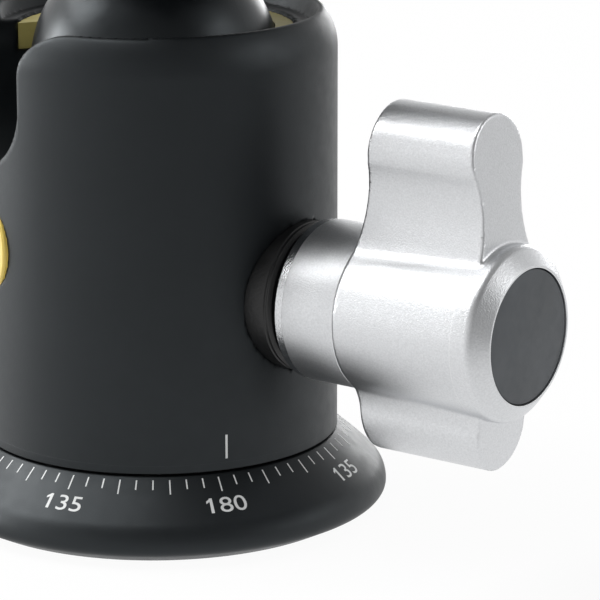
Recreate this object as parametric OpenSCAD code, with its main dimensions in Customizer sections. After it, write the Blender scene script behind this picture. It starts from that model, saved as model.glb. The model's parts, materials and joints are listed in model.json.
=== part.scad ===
// Tripod ball head: a drop-notch housing on a graduated panning base, a wing
// knob that locks the ball through a wedge, and a screw clamp with its plate.
// Millimetres. Origin: centre of the underside, on the tripod screw's axis.
// +Z is up the pan axis and +X runs out along the wing knob's axis.

/* [Housing] */
// Outer radius of the cylindrical housing
body_r = 27; // [26.5:0.5:28]
// Height of the rim above the underside
rim_z = 75.7; // [75:0.1:76.5]
// Radius of the crest between shoulder and funnel
rim_r = 25; // [24.6:0.1:25.3]
// Radius of the rounded shoulder
shoulder_r = 8.5; // [7.5:0.5:9]
// Bore that holds the ball and its seat
bore_r = 19.2; // [19.1:0.1:19.4]

/* [Drop notch] */
// Direction of the notch around the pan axis
notch_angle = -120; // [-130:5:-110]
// Half the width of the notch
notch_half_w = 9.5; // [9:0.1:10]
// Height of the centre of the notch's round bottom
notch_z = 64; // [63:0.5:66]
// Radius that rounds the notch's top corners
notch_corner_r = 7; // [5:0.5:8]

/* [Panning base] */
// Largest radius of the flared base
base_r = 34.5; // [33:0.5:36]
// Height at which the base is widest
base_lip_z = 3; // [2.6:0.1:3.4]
// Height of the flare's top edge
base_h = 11.6; // [11.2:0.1:12]
// Slope of the graduated flare
flare_angle = 41.3; // [38:0.1:45]
// Radius of the flat underside
foot_r = 30.6; // [29:0.1:31]
// Radius of the pan spindle
hub_r = 14; // [13:0.5:14.5]
// Major radius of the 3/8 inch tripod thread
tripod_thread_r = 4.7625; // [4.7625]
// Length of the threaded insert
insert_len = 9; // [7:0.5:11]

/* [Ball] */
// Radius of the ball
ball_r = 18.5; // [18.3:0.1:18.6]
// Height of the ball's centre
ball_z = 67.1; // [66.8:0.1:67.4]
// Radius of the stem's neck
neck_r = 8; // [7:0.1:8.4]

/* [Wing knob] */
// Height of the knob's axis
knob_z = 36; // [35.5:0.5:37]
// Radius of the bushing that stands out of the housing
bushing_r = 11; // [10.8:0.1:11.4]
// Distance of the bushing's front face from the pan axis
bushing_x = 29.2; // [28.6:0.1:30]
// Start of the silver collar
collar_x = 30.2; // [30.2:0.1:31]
// Seam between the collar and the winged body
seam_x = 40.9; // [40.5:0.1:42]
// Face of the disc at the knob's end
knob_end_x = 66.3; // [65:0.1:67]
// Reach of the long wing from the knob's axis
long_wing = 31.1; // [30:0.1:33]
// Reach of the short wing from the knob's axis
short_wing = 20.4; // [19.5:0.1:22]
// Pitch of the lock spindle's thread
lock_pitch = 1.5; // [1:0.25:1.5]
// Slope of the wedge under the push pin
wedge_angle = 15; // [10:1:18]

/* [Pan lock] */
// Direction of the pan lock around the pan axis
pan_angle = 120; // [110:5:130]
// Height of the pan lock's axis
pan_z = 18.6; // [18.2:0.1:18.8]
// Radius of the pan lock's knob
pan_knob_r = 8; // [7:0.5:8]

/* [Clamp] */
// Height of the platform's underside
platform_z = 96.5; // [96:0.5:98]
// Radius of the round platform
platform_r = 18; // [16:0.5:20]
// Length of the clamp along the dovetail
clamp_len = 46; // [40:1:50]
// Height of the clamp's floor
floor_z = 106.2; // [106:0.1:106.6]
// Width across the dovetail's foot
dovetail_w = 38; // [38]
// Radius of the clamp's knob
clamp_knob_r = 8; // [7:0.5:8]
// Length of the quick-release plate
plate_len = 54; // [50:1:60]

/* [Hidden] */
$fn = 96;
eps = 0.01;
fit = 0.05;        // gap between pieces that are fixed together
run = 0.03;        // radial gap of a shaft in its bearing
slide = 0.15;      // gap between sliding faces

// Arc of points around a centre, for outlines
function arc(c, r, from, to, steps = 12) =
    [for (i = [0:steps]) let (a = from + (to - from) * i / steps) c + r * [cos(a), sin(a)]];

// Panning base
base_tangent = 90 - flare_angle;
flare_r = ((base_h - base_lip_z) - tan(flare_angle) * (base_r - body_r))
        / (sin(base_tangent) - tan(flare_angle) * (1 - cos(base_tangent)));
under_r = 1.6;
under_angle = -63;
insert_r = 7;
washer_in = 14.6;
washer_out = 24;
washer_z = 11.1;
washer_t = 0.8;
washer_top = washer_z + washer_t;
shell_z = washer_top + run;
hub_top = 21.7;
retainer_z = hub_top + fit;
retainer_t = 2.15;
retainer_r = 17.5;
retainer_top = retainer_z + retainer_t;
hub_screw_r = 2;
hub_screw_head = 3.8;
hub_screw_at = 9;
hub_screw_z = 12.6;
hub_screws_n = 3;

// Housing interior
counterbore_r = 22;
ring_r = counterbore_r - fit;
ring_z = 12.5;
ring_floor = hub_top - 0.1;
ring_cup_r = 18.5;
ring_top = 24.5;
ledge_z = 27;
block_z = ring_top + fit;
block_r = bore_r - 0.1;
block_top = 43.9;
groove_r = 20.6;
groove_low = 68.9;
groove_high = 72.9;
lip_r = 19.9;
lip_top = 73.3;
funnel_r = rim_r - 0.7;
shoulder_c = [body_r - shoulder_r, 70];
shoulder_end = acos((rim_r - shoulder_c[0]) / shoulder_r);
liner_in = ball_r + 0.1;
liner_out = ball_r + 1;
liner_angle = 40;
seal_half_w = notch_half_w + 0.7;

// Badge
badge_z = 42.4;
badge_r = 7;
badge_inner = 5.5;
badge_floor = 24.6;
badge_t = 2.2;
badge_face_t = 1.9;

// Lock mechanism
spotface_x = 24;
spigot_r = 8.5;
spigot_x = 14.5;
spindle_r = 5;
spindle_seat_r = 4;
spindle_flat = 3.2;
spindle_end = 57;
thread_r = 3.5;
flange_r = 6.3;
flange_x = 12.7;
plunger_r = 6.5;
plunger_half = 12;
ramp_half = 5.4;
ramp_z = knob_z + 1.6;
pin_r = 4;
pin_top = 46.35;
cup_z = 45.4;
cup_top = 57.5;
cup_r = bore_r - 0.3;
cup_hollow = liner_out + 0.15;
pocket_x = 12.6;
block_end = -13.5;
spring_out = 9;
spring_in = 4.6;

// Wing knob
hub_back_r = 12;
hub_front_r = 12.7;
hub_front_x = knob_end_x - 2.1;
collar_r = 11.85;
collar_bevel = 1.35;
cap_r = 9.7;
cap_x = knob_end_x - 1.1;
wing_hub_r = 11.6;
wing_tip_r = 6.35;
wing_tip_y = long_wing - wing_tip_r;
wing_hollow = 14.2;
short_tip_r = 6;
short_tip_y = short_wing - short_tip_r;
short_hollow = 6.6;
wing_back_x = seam_x + fit;
wing_front_x = hub_front_x - 1.9;
wing_back_lean = 2.8;
wing_front_lean = 2.4;
screw_seat_x = 61.9;
knob_screw_r = 2;
knob_screw_end = 49.5;
screw_head_r = 3.8;

// Pan lock
pad_r = 2.6;
pad_x = hub_r + 0.12;
pad_end = 19.4;
stud_r = 2.5;
stud_end = 40;
pan_bushing_r = 4.5;
pan_bushing_x = 22.1;
pan_neck_x = 28.6;
pan_grip_x = 30.5;
pan_end_x = 42;
pan_cap_r = 5.5;
flutes = 14;
set_screw_angle = 60;
set_screw_r = 1.5;
set_screw_x = 19.9;

// Stem
flat_z = ball_z + 16;
bolt_r = 4;
bolt_z = 62.5;
bolt_head_r = 6.5;
bolt_head_z = 101.5;
waist_cut_r = 30;
waist_depth = 0.7;

// Clamp
block_low = platform_z + 3.5;
fixed_x = -30;
split_x = 16;
jaw_x = split_x + 0.2;
jaw_end = 28;
jaw_top = floor_z + 5.8;
foot_h = 1.6;
dovetail_h = 2.8;
plate_gap = 0.15;
screw_z = 103;
clamp_screw_r = 2.5;
clamp_screw_x = 7.9;
clamp_screw_end = 41;
guide_y = 16;
guide_r = 2;
guide_end = 27;
level_x = -25.2;
level_r = 4.4;
clamp_washer_t = 0.8;
clamp_grip_x = jaw_end + clamp_washer_t + 0.1;
clamp_end_x = 43;
deck_z = jaw_top + 0.4;
deck_top = deck_z + 3.8;
pad_t = 1;
slot_len = 22;
camera_thread_r = 3.175;
camera_shank_r = 2.6;
camera_head_r = 7;
camera_head_t = 2.4;
camera_top = deck_top + pad_t + 5.5;
foot_z = floor_z + plate_gap;
camera_head_z = foot_z + 0.6;
clip_r = 4.6;

// Cylinder between two heights
module rod(r, from, to) {
    translate([0, 0, from]) cylinder(r = r, h = to - from);
}

// Cone between two heights
module taper(r1, r2, from, to) {
    translate([0, 0, from]) cylinder(r1 = r1, r2 = r2, h = to - from);
}

// Ring between two heights
module tube(outer, inner, from, to) {
    difference() {
        rod(outer, from, to);
        rod(inner, from - 1, to + 1);
    }
}

// Box between two corners
module block(low, high) {
    translate(low) cube(high - low);
}

// Turns a part drawn along +Z to run outward at an angle and a height
module outward(angle, z) {
    rotate([0, 0, angle]) translate([0, 0, z]) rotate([0, 90, 0]) children();
}

// Grip with finger flutes round its rim, drawn along +Z
module fluted_grip(r, from, to, bevel = 0.8, flute_r = 1.5) {
    difference() {
        union() {
            taper(r - bevel, r, from, from + bevel);
            rod(r, from + bevel, to - bevel);
            taper(r, r - bevel, to - bevel, to);
        }
        for (i = [0:flutes - 1])
            rotate([0, 0, i * 360 / flutes]) translate([r + flute_r * 0.55, 0, 0])
                rod(flute_r, from - 1, to + 1);
    }
}

// --- Panning base ---

module base_profile() {
    upper = arc([base_r - flare_r, base_lip_z], flare_r, 0, base_tangent);
    lower_c = [base_r - under_r, base_lip_z];
    lower = arc(lower_c, under_r, under_angle, 0, 8);
    polygon(concat([[0, 0], [foot_r, 0]], lower, upper, [[body_r, base_h], [0, base_h]]));
}

module base_flange() {
    color("#202122") difference() {
        union() {
            rotate_extrude() base_profile();
            rod(hub_r, base_h - eps, hub_top);
        }
        rod(insert_r + fit, -1, insert_len + fit);
        tube(washer_out + fit, washer_in - 0.3, washer_z, base_h + 1);
        for (i = [0:hub_screws_n - 1])
            rotate([0, 0, i * 360 / hub_screws_n]) translate([hub_screw_at, 0, 0])
                rod(hub_screw_r + fit, hub_screw_z - 0.4, hub_top + 1);
    }
}

module thread_insert() {
    color("#b9bcc0") tube(insert_r, tripod_thread_r, 0, insert_len);
}

module thrust_washer() {
    color("#e8e6df") tube(washer_out, washer_in, washer_z + eps, washer_top);
}

module hub_retainer() {
    color("#8d9094") difference() {
        rod(retainer_r, retainer_z, retainer_top);
        for (i = [0:hub_screws_n - 1])
            rotate([0, 0, i * 360 / hub_screws_n]) translate([hub_screw_at, 0, 0]) {
                rod(hub_screw_r + fit, retainer_z - 1, retainer_top);
                taper(hub_screw_r + fit, hub_screw_head + fit, retainer_z + 0.2, retainer_top + eps);
            }
    }
}

module hub_screws() {
    color("#3a3b3d") for (i = [0:hub_screws_n - 1])
        rotate([0, 0, i * 360 / hub_screws_n]) translate([hub_screw_at, 0, 0]) difference() {
            union() {
                rod(hub_screw_r, hub_screw_z, retainer_z + 0.3);
                taper(hub_screw_r, hub_screw_head, retainer_z + 0.25, retainer_top - fit);
            }
            translate([0, 0, retainer_top - 1.4]) cylinder(r = 1.4, h = 3, $fn = 6);
        }
}

// --- Housing ---

module shell_profile() {
    shoulder = arc(shoulder_c, shoulder_r, 0, shoulder_end);
    polygon(concat(
        [[counterbore_r, shell_z], [body_r - 0.3, shell_z], [body_r, shell_z + 0.3]],
        shoulder,
        [[rim_r - 0.3, rim_z], [funnel_r, rim_z], [lip_r, lip_top], [lip_r, groove_high],
         [groove_r, groove_high], [groove_r, groove_low], [bore_r, groove_low],
         [bore_r, ledge_z], [counterbore_r, ledge_z]]));
}

// Outline of the drop notch, seen along its own direction, with rounded top corners
module notch_outline() {
    flare_w = notch_half_w + notch_corner_r;
    flare_z = rim_z - notch_corner_r;
    translate([0, notch_z]) circle(r = notch_half_w);
    translate([-notch_half_w, notch_z]) square([2 * notch_half_w, rim_z]);
    difference() {
        translate([-flare_w, flare_z]) square([2 * flare_w, rim_z]);
        for (side = [-1, 1])
            translate([side * flare_w, flare_z]) circle(r = notch_corner_r);
    }
}

module housing_shell() {
    color("#232527") difference() {
        rotate_extrude() shell_profile();
        rotate([0, 0, notch_angle]) translate([10, 0, 0]) rotate([90, 0, 90])
            linear_extrude(height = body_r) notch_outline();
        outward(0, knob_z) {
            rod(spigot_r + fit, 10, body_r + 5);
            rod(bushing_r + fit, spotface_x, body_r + 5);
        }
        outward(notch_angle, badge_z) rod(badge_r + fit, badge_floor, body_r + 5);
        outward(pan_angle, pan_z) rod(pan_bushing_r + fit, 15, body_r + 5);
        outward(set_screw_angle, pan_z) rod(set_screw_r + fit, 15, body_r + 5);
    }
}

module bearing_ring() {
    color("#9a9da1") difference() {
        rod(ring_r, ring_z, ring_top);
        rod(hub_r + run, ring_z - 1, ring_top);
        rod(ring_cup_r, ring_floor, ring_top + 1);
        outward(pan_angle, pan_z) rod(pad_r + run, 5, counterbore_r + 5);
        outward(set_screw_angle, pan_z) rod(set_screw_r + fit, set_screw_x - 0.1, counterbore_r + 5);
    }
}

module ring_set_screw() {
    color("#3a3b3d") outward(set_screw_angle, pan_z) difference() {
        rod(set_screw_r, set_screw_x, body_r - 0.6);
        translate([0, 0, body_r - 2.2]) cylinder(r = 0.85, h = 3, $fn = 6);
    }
}

module guide_block() {
    color("#8f9296") difference() {
        union() {
            rod(ring_r, block_z, ledge_z - fit);
            rod(block_r, ledge_z - fit - eps, block_top);
        }
        outward(0, knob_z) {
            rod(plunger_r + run, block_end, pocket_x);
            rod(spigot_r + 0.1, pocket_x, bore_r + 1);
        }
        rod(pin_r + run, knob_z, block_top + 1);
    }
}

module disc_spring() {
    color("#9a9da1") difference() {
        taper(spring_out, spring_in + 1, block_top + fit, block_top + 1.1);
        taper(spring_out - 1.4, spring_in - 0.4, block_top + fit - eps, block_top + 1.1 + eps);
    }
}

module seal_ring() {
    color("#d9c85a") difference() {
        rod(groove_r - fit, groove_low + fit, groove_high - fit);
        translate([0, 0, ball_z]) sphere(r = ball_r + slide);
        rotate([0, 0, notch_angle])
            block([0, -seal_half_w, groove_low - 1], [body_r, seal_half_w, groove_high + 1]);
    }
}

module badge_rim() {
    color("#e4cf6c") outward(notch_angle, badge_z)
        tube(badge_r, badge_inner, badge_floor + fit, badge_floor + badge_t);
}

module badge_face() {
    color("#d8d9d6") outward(notch_angle, badge_z)
        rod(badge_inner - fit, badge_floor + fit, badge_floor + badge_face_t);
}

module knob_bushing() {
    lip = 0.5;
    color("#161718") outward(0, knob_z) difference() {
        union() {
            rod(spigot_r, spigot_x, spotface_x + 1);
            rod(bushing_r, spotface_x + fit, bushing_x - lip);
            taper(bushing_r, bushing_r - lip, bushing_x - lip - eps, bushing_x);
        }
        rod(spindle_r + run, spigot_x - 1, bushing_x + 1);
    }
}

module pan_bushing() {
    color("#c2a25c") outward(pan_angle, pan_z)
        tube(pan_bushing_r, stud_r + run, pan_bushing_x, body_r + 0.6);
}

// --- Ball lock ---

module lock_spindle() {
    flat_len = spindle_end - 32;
    color("#c8cace") outward(0, knob_z) difference() {
        union() {
            rod(thread_r, ramp_half + 0.4, flange_x + eps);
            rod(flange_r, flange_x, spigot_x - 0.1);
            rod(spindle_r, spigot_x - 0.1 - eps, collar_x + 0.5);
            rod(spindle_seat_r, collar_x, spindle_end);
        }
        block([-spindle_r, spindle_flat, spindle_end - flat_len],
              [spindle_r, spindle_r + 1, spindle_end + 1]);
        rod(knob_screw_r + fit, knob_screw_end - 1, spindle_end + 1);
    }
}

module knob_washer() {
    color("#101112") outward(0, knob_z)
        tube(bushing_r - 1.4, spindle_r + 0.1, bushing_x + fit, collar_x - fit);
}

module knob_collar() {
    color("#d3d5d8") outward(0, knob_z) difference() {
        union() {
            taper(collar_r - collar_bevel, collar_r, collar_x, collar_x + collar_bevel);
            rod(collar_r, collar_x + collar_bevel - eps, seam_x - fit);
        }
        rod(spindle_r + fit, collar_x - 1, collar_x + 0.6);
        rod(spindle_seat_r + fit, collar_x, seam_x + 1);
    }
}

// Distance along the wing of the circle that hollows its flank
function hollow_y(hub, tip, tip_y, hollow) =
    (tip_y * tip_y + pow(hub + hollow, 2) - pow(tip + hollow, 2)) / (2 * tip_y);

// One wing: a round tip joined to the hub by two hollow flanks
module wing_outline(hub, tip, tip_y, hollow) {
    hy = hollow_y(hub, tip, tip_y, hollow);
    hx = sqrt(pow(hub + hollow, 2) - hy * hy);
    root = hub / (hub + hollow);
    end = hollow / (tip + hollow);
    tip_x = hx * (1 - end);
    translate([0, tip_y]) circle(r = tip);
    difference() {
        polygon([[0, 0], [hx * root, hy * root], [tip_x, tip_y + (hy - tip_y) * (1 - end)],
                 [-tip_x, tip_y + (hy - tip_y) * (1 - end)], [-hx * root, hy * root]]);
        for (side = [-1, 1])
            translate([side * hx, hy]) circle(r = hollow);
    }
}

// Turned solid that gives the wings their slightly domed end faces
module wing_envelope() {
    reach = long_wing + 2;
    back = [for (t = [0:0.1:1])
        [hub_back_r + t * (reach - hub_back_r), wing_back_x + wing_back_lean * pow(t, 0.8)]];
    rotate_extrude() polygon(concat(
        [[0, wing_back_x]], back,
        [[reach, wing_front_x - wing_front_lean], [hub_back_r, wing_front_x],
         [0, wing_front_x + 0.5]]));
}

module knob_body() {
    nose = [for (p = arc([0, 0], 1, 0, 90, 8))
        [cap_r + 0.2 + p[0] * (hub_front_r - cap_r - 0.2),
         hub_front_x + p[1] * (knob_end_x - hub_front_x)]];
    color("#d3d5d8") difference() {
        union() {
            intersection() {
                translate([0, 0, knob_z]) rotate([90, 0, 90]) linear_extrude(height = knob_end_x) {
                    wing_outline(wing_hub_r, wing_tip_r, wing_tip_y, wing_hollow);
                    rotate(180) wing_outline(wing_hub_r, short_tip_r, short_tip_y, short_hollow);
                }
                outward(0, knob_z) wing_envelope();
            }
            outward(0, knob_z) rotate_extrude()
                polygon(concat([[0, seam_x], [hub_back_r, seam_x]], nose, [[0, knob_end_x]]));
        }
        outward(0, knob_z) {
            difference() {
                rod(spindle_seat_r + fit, seam_x - 1, spindle_end + 0.1);
                block([-spindle_r, spindle_flat + fit, seam_x - 2],
                      [spindle_r, spindle_r + 1, spindle_end + 1]);
            }
            rod(knob_screw_r + 0.1, spindle_end, screw_seat_x + 1);
            rod(screw_head_r + 0.3, screw_seat_x, knob_end_x);
            rod(cap_r + fit, cap_x - fit, knob_end_x + 1);
        }
    }
}

module knob_screw() {
    head_t = 2.6;
    color("#3a3b3d") outward(0, knob_z) difference() {
        union() {
            rod(knob_screw_r, knob_screw_end, screw_seat_x + 0.5);
            rod(screw_head_r, screw_seat_x + fit, screw_seat_x + head_t);
        }
        translate([0, 0, screw_seat_x + 0.9]) cylinder(r = 1.7, h = 3, $fn = 6);
    }
}

module knob_cap() {
    color("#4a4d50") outward(0, knob_z) rod(cap_r, cap_x, knob_end_x);
}

// Cuts away all that lies above the wedge's sloping face, raised by a gap
module above_ramp(gap) {
    translate([0, 0, ramp_z + gap]) rotate([0, wedge_angle, 0])
        translate([-30, -15, 0]) cube([60, 30, 40]);
}

module wedge_plunger() {
    color("#b08d57") difference() {
        outward(0, knob_z) rod(plunger_r, -plunger_half, plunger_half);
        intersection() {
            above_ramp(0);
            block([-ramp_half, -15, knob_z - 15], [ramp_half, 15, knob_z + 15]);
        }
        outward(0, knob_z) rod(thread_r + run, 0, plunger_half + 1);
    }
}

module push_pin() {
    color("#c8cace") intersection() {
        rod(pin_r, knob_z - 4, pin_top);
        above_ramp(fit);
    }
}

module pressure_cup() {
    color("#9a9da1") difference() {
        rod(cup_r, cup_z, cup_top);
        translate([0, 0, ball_z]) sphere(r = cup_hollow);
        rod(pin_r + fit, cup_z - 1, pin_top + fit);
    }
}

module seat_liner() {
    edge = liner_out * sin(liner_angle);
    low = ball_z - liner_out - 1;
    high = ball_z - liner_out * cos(liner_angle);
    color("#ddd8c8") difference() {
        intersection() {
            translate([0, 0, ball_z]) sphere(r = liner_out);
            rod(edge, low, high);
        }
        translate([0, 0, ball_z]) sphere(r = liner_in);
    }
}

module ball() {
    color("#2b2d30") difference() {
        translate([0, 0, ball_z]) sphere(r = ball_r);
        rod(ball_r, flat_z, flat_z + ball_r);
        rod(bolt_r + run, bolt_z - 0.4, flat_z + 1);
    }
}

// --- Stem and clamp ---

module stem() {
    low = flat_z + slide;
    mid = (low + platform_z) / 2;
    color("#2b2d30") difference() {
        rod(neck_r, low, platform_z);
        rotate_extrude() translate([neck_r - waist_depth + waist_cut_r, mid]) circle(r = waist_cut_r);
        rod(bolt_r + fit, low - 1, platform_z + 1);
    }
}

module stem_bolt() {
    head_t = 3.9;
    color("#3a3b3d") difference() {
        union() {
            rod(bolt_r, bolt_z, bolt_head_z + 0.5);
            rod(bolt_head_r, bolt_head_z + fit, bolt_head_z + head_t);
        }
        translate([0, 0, bolt_head_z + 1.4]) cylinder(r = 2.9, h = 5, $fn = 6);
    }
}

// Jaw on the +X side, as long as the clamp: floor, foot, sloping flank and lip
module jaw(inner, end, low) {
    half = dovetail_w / 2 + slide;
    hip_z = floor_z + foot_h + 0.2;
    rotate([90, 0, 0]) translate([0, 0, -clamp_len / 2]) linear_extrude(height = clamp_len)
        polygon([[inner, low], [end, low], [end, jaw_top - 1], [end - 1, jaw_top],
                 [half - dovetail_h, jaw_top], [half - dovetail_h, hip_z + dovetail_h],
                 [half, hip_z], [half, floor_z], [inner, floor_z]]);
}

module clamp_body() {
    half_len = clamp_len / 2;
    color("#26282b") difference() {
        union() {
            taper(platform_r - 0.6, platform_r, platform_z, platform_z + 0.6);
            rod(platform_r, platform_z + 0.6, block_low + eps);
            block([fixed_x, -half_len, block_low], [split_x, half_len, floor_z]);
            mirror([1, 0, 0]) jaw(0, -fixed_x, floor_z - 1);
        }
        rod(bolt_r + fit, platform_z - 1, floor_z + 1);
        rod(bolt_head_r + fit, bolt_head_z, floor_z + 1);
        outward(0, screw_z) rod(clamp_screw_r + run, bolt_head_r + 1, split_x + 1);
        for (side = [-1, 1])
            translate([0, side * guide_y, 0]) outward(0, screw_z)
                rod(guide_r + fit, 4, split_x + 1);
        translate([level_x, 0, 0]) rod(level_r + fit, jaw_top - 3.5, jaw_top + 1);
    }
}

module guide_pins() {
    color("#c8cace") for (side = [-1, 1])
        translate([0, side * guide_y, 0]) outward(0, screw_z) rod(guide_r, 4.2, guide_end);
}

module level_cup() {
    color("#d8d9d6") translate([level_x, 0, 0])
        tube(level_r, level_r - 0.8, jaw_top - 3.4, jaw_top - 0.1);
}

module level_vial() {
    color("#b9dc6a") translate([level_x, 0, 0]) rod(level_r - 0.85, jaw_top - 3.4, jaw_top - 0.3);
}

module moving_jaw() {
    color("#26282b") difference() {
        jaw(jaw_x, jaw_end, block_low + slide);
        outward(0, screw_z) rod(clamp_screw_r + 0.1, split_x - 1, jaw_end + 1);
        for (side = [-1, 1])
            translate([0, side * guide_y, 0]) outward(0, screw_z)
                rod(guide_r + run, split_x - 1, guide_end + 0.5);
    }
}

module clamp_screw() {
    color("#c8cace") outward(0, screw_z) rod(clamp_screw_r, clamp_screw_x, clamp_screw_end);
}

module clamp_washer() {
    color("#e8e6df") outward(0, screw_z)
        tube(5.5, clamp_screw_r + fit, jaw_end + fit, jaw_end + clamp_washer_t);
}

module clamp_knob() {
    color("#d3d5d8") outward(0, screw_z) difference() {
        fluted_grip(clamp_knob_r, clamp_grip_x, clamp_end_x);
        rod(clamp_screw_r + fit, clamp_grip_x - 1, clamp_screw_end + 0.1);
        rod(pan_cap_r + fit, clamp_end_x - 1.2, clamp_end_x + 1);
    }
}

module clamp_cap() {
    color("#4a4d50") outward(0, screw_z) rod(pan_cap_r, clamp_end_x - 1.15, clamp_end_x - 0.1);
}

// --- Quick-release plate ---

// Slot with round ends along the plate
module plate_slot(r, from, to) {
    reach = (slot_len - camera_head_r) / 2;
    for (side = [-1, 1])
        translate([0, side * reach, 0]) rod(r, from, to);
    block([-r, -reach, from], [r, reach, to]);
}

module release_plate() {
    half = dovetail_w / 2;
    waist = half - dovetail_h;
    hip_z = foot_z + foot_h;
    color("#1d1e20") difference() {
        rotate([90, 0, 0]) translate([0, 0, -plate_len / 2]) linear_extrude(height = plate_len)
            polygon([[-half, foot_z], [half, foot_z], [half, hip_z], [waist, hip_z + dovetail_h],
                     [waist, deck_z], [half, deck_z], [half, deck_top], [-half, deck_top],
                     [-half, deck_z], [-waist, deck_z], [-waist, hip_z + dovetail_h],
                     [-half, hip_z]]);
        plate_slot(camera_head_r + 0.4, foot_z - 1, camera_head_z + camera_head_t + fit);
        plate_slot(camera_shank_r + 0.2, foot_z, deck_top + 1);
        plate_slot(clip_r + 0.4, deck_top - 1.2, deck_top + 1);
    }
}

module plate_pad() {
    margin = 2;
    color("#2a2a2b") difference() {
        block([-dovetail_w / 2 + margin, -plate_len / 2 + margin, deck_top + fit / 5],
              [dovetail_w / 2 - margin, plate_len / 2 - margin, deck_top + pad_t]);
        plate_slot(clip_r + 0.6, deck_top - 1, deck_top + pad_t + 1);
    }
}

module camera_screw() {
    tip = 0.7;
    color("#c8cace") difference() {
        union() {
            rod(camera_head_r, camera_head_z, camera_head_z + camera_head_t);
            rod(camera_shank_r, camera_head_z, deck_top + pad_t + eps);
            rod(camera_thread_r, deck_top + pad_t, camera_top - tip);
            taper(camera_thread_r, camera_thread_r - tip, camera_top - tip - eps, camera_top);
        }
        block([-camera_head_r - 1, -0.8, camera_head_z - 1], [camera_head_r + 1, 0.8, camera_head_z + 1.3]);
    }
}

module screw_clip() {
    color("#9a9da1") difference() {
        tube(clip_r, camera_shank_r + fit, deck_top - 1.1, deck_top - 0.3);
        block([0, -1.6, deck_top - 2], [clip_r + 1, 1.6, deck_top]);
    }
}

// --- Pan lock ---

module brake_pad() {
    color("#ddd8c8") outward(pan_angle, pan_z) rod(pad_r, pad_x, pad_end);
}

module pan_stud() {
    color("#c8cace") outward(pan_angle, pan_z) rod(stud_r, pad_end + fit, stud_end);
}

module pan_knob() {
    neck = 5;
    color("#d3d5d8") outward(pan_angle, pan_z) difference() {
        union() {
            rod(neck, pan_neck_x, pan_grip_x + eps);
            fluted_grip(pan_knob_r, pan_grip_x, pan_end_x);
        }
        rod(stud_r + fit, pan_neck_x - 1, stud_end + 0.1);
        rod(pan_cap_r + fit, pan_end_x - 1.2, pan_end_x + 1);
    }
}

module pan_cap() {
    color("#4a4d50") outward(pan_angle, pan_z) rod(pan_cap_r, pan_end_x - 1.15, pan_end_x - 0.1);
}

base_flange();
thread_insert();
thrust_washer();
hub_retainer();
hub_screws();
housing_shell();
bearing_ring();
ring_set_screw();
guide_block();
disc_spring();
seal_ring();
badge_rim();
badge_face();
knob_bushing();
pan_bushing();
lock_spindle();
knob_washer();
knob_collar();
knob_body();
knob_screw();
knob_cap();
wedge_plunger();
push_pin();
pressure_cup();
seat_liner();
ball();
stem();
stem_bolt();
clamp_body();
guide_pins();
level_cup();
level_vial();
moving_jaw();
clamp_screw();
clamp_washer();
clamp_knob();
clamp_cap();
release_plate();
plate_pad();
camera_screw();
screw_clip();
brake_pad();
pan_stud();
pan_knob();
pan_cap();
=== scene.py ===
import json
import math

import bpy
import numpy as np
from mathutils import Matrix, Vector


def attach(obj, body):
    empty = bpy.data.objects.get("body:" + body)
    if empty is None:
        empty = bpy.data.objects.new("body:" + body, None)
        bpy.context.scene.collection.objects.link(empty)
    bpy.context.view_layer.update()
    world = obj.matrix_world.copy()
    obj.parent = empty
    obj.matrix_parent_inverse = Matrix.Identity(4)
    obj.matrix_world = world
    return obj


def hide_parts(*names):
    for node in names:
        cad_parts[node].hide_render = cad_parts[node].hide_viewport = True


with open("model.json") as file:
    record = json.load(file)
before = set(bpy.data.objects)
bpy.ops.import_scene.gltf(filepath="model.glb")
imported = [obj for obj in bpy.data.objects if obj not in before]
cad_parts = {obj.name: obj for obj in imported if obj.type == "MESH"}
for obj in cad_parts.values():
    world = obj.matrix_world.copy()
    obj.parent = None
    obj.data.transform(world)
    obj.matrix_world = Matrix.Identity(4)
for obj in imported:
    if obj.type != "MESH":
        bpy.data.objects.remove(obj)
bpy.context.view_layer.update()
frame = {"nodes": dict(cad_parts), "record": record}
NODES = frame["nodes"]
MM = 0.001
TAU = 2 * math.pi

# ---------------------------------------------------------------- materials


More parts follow.
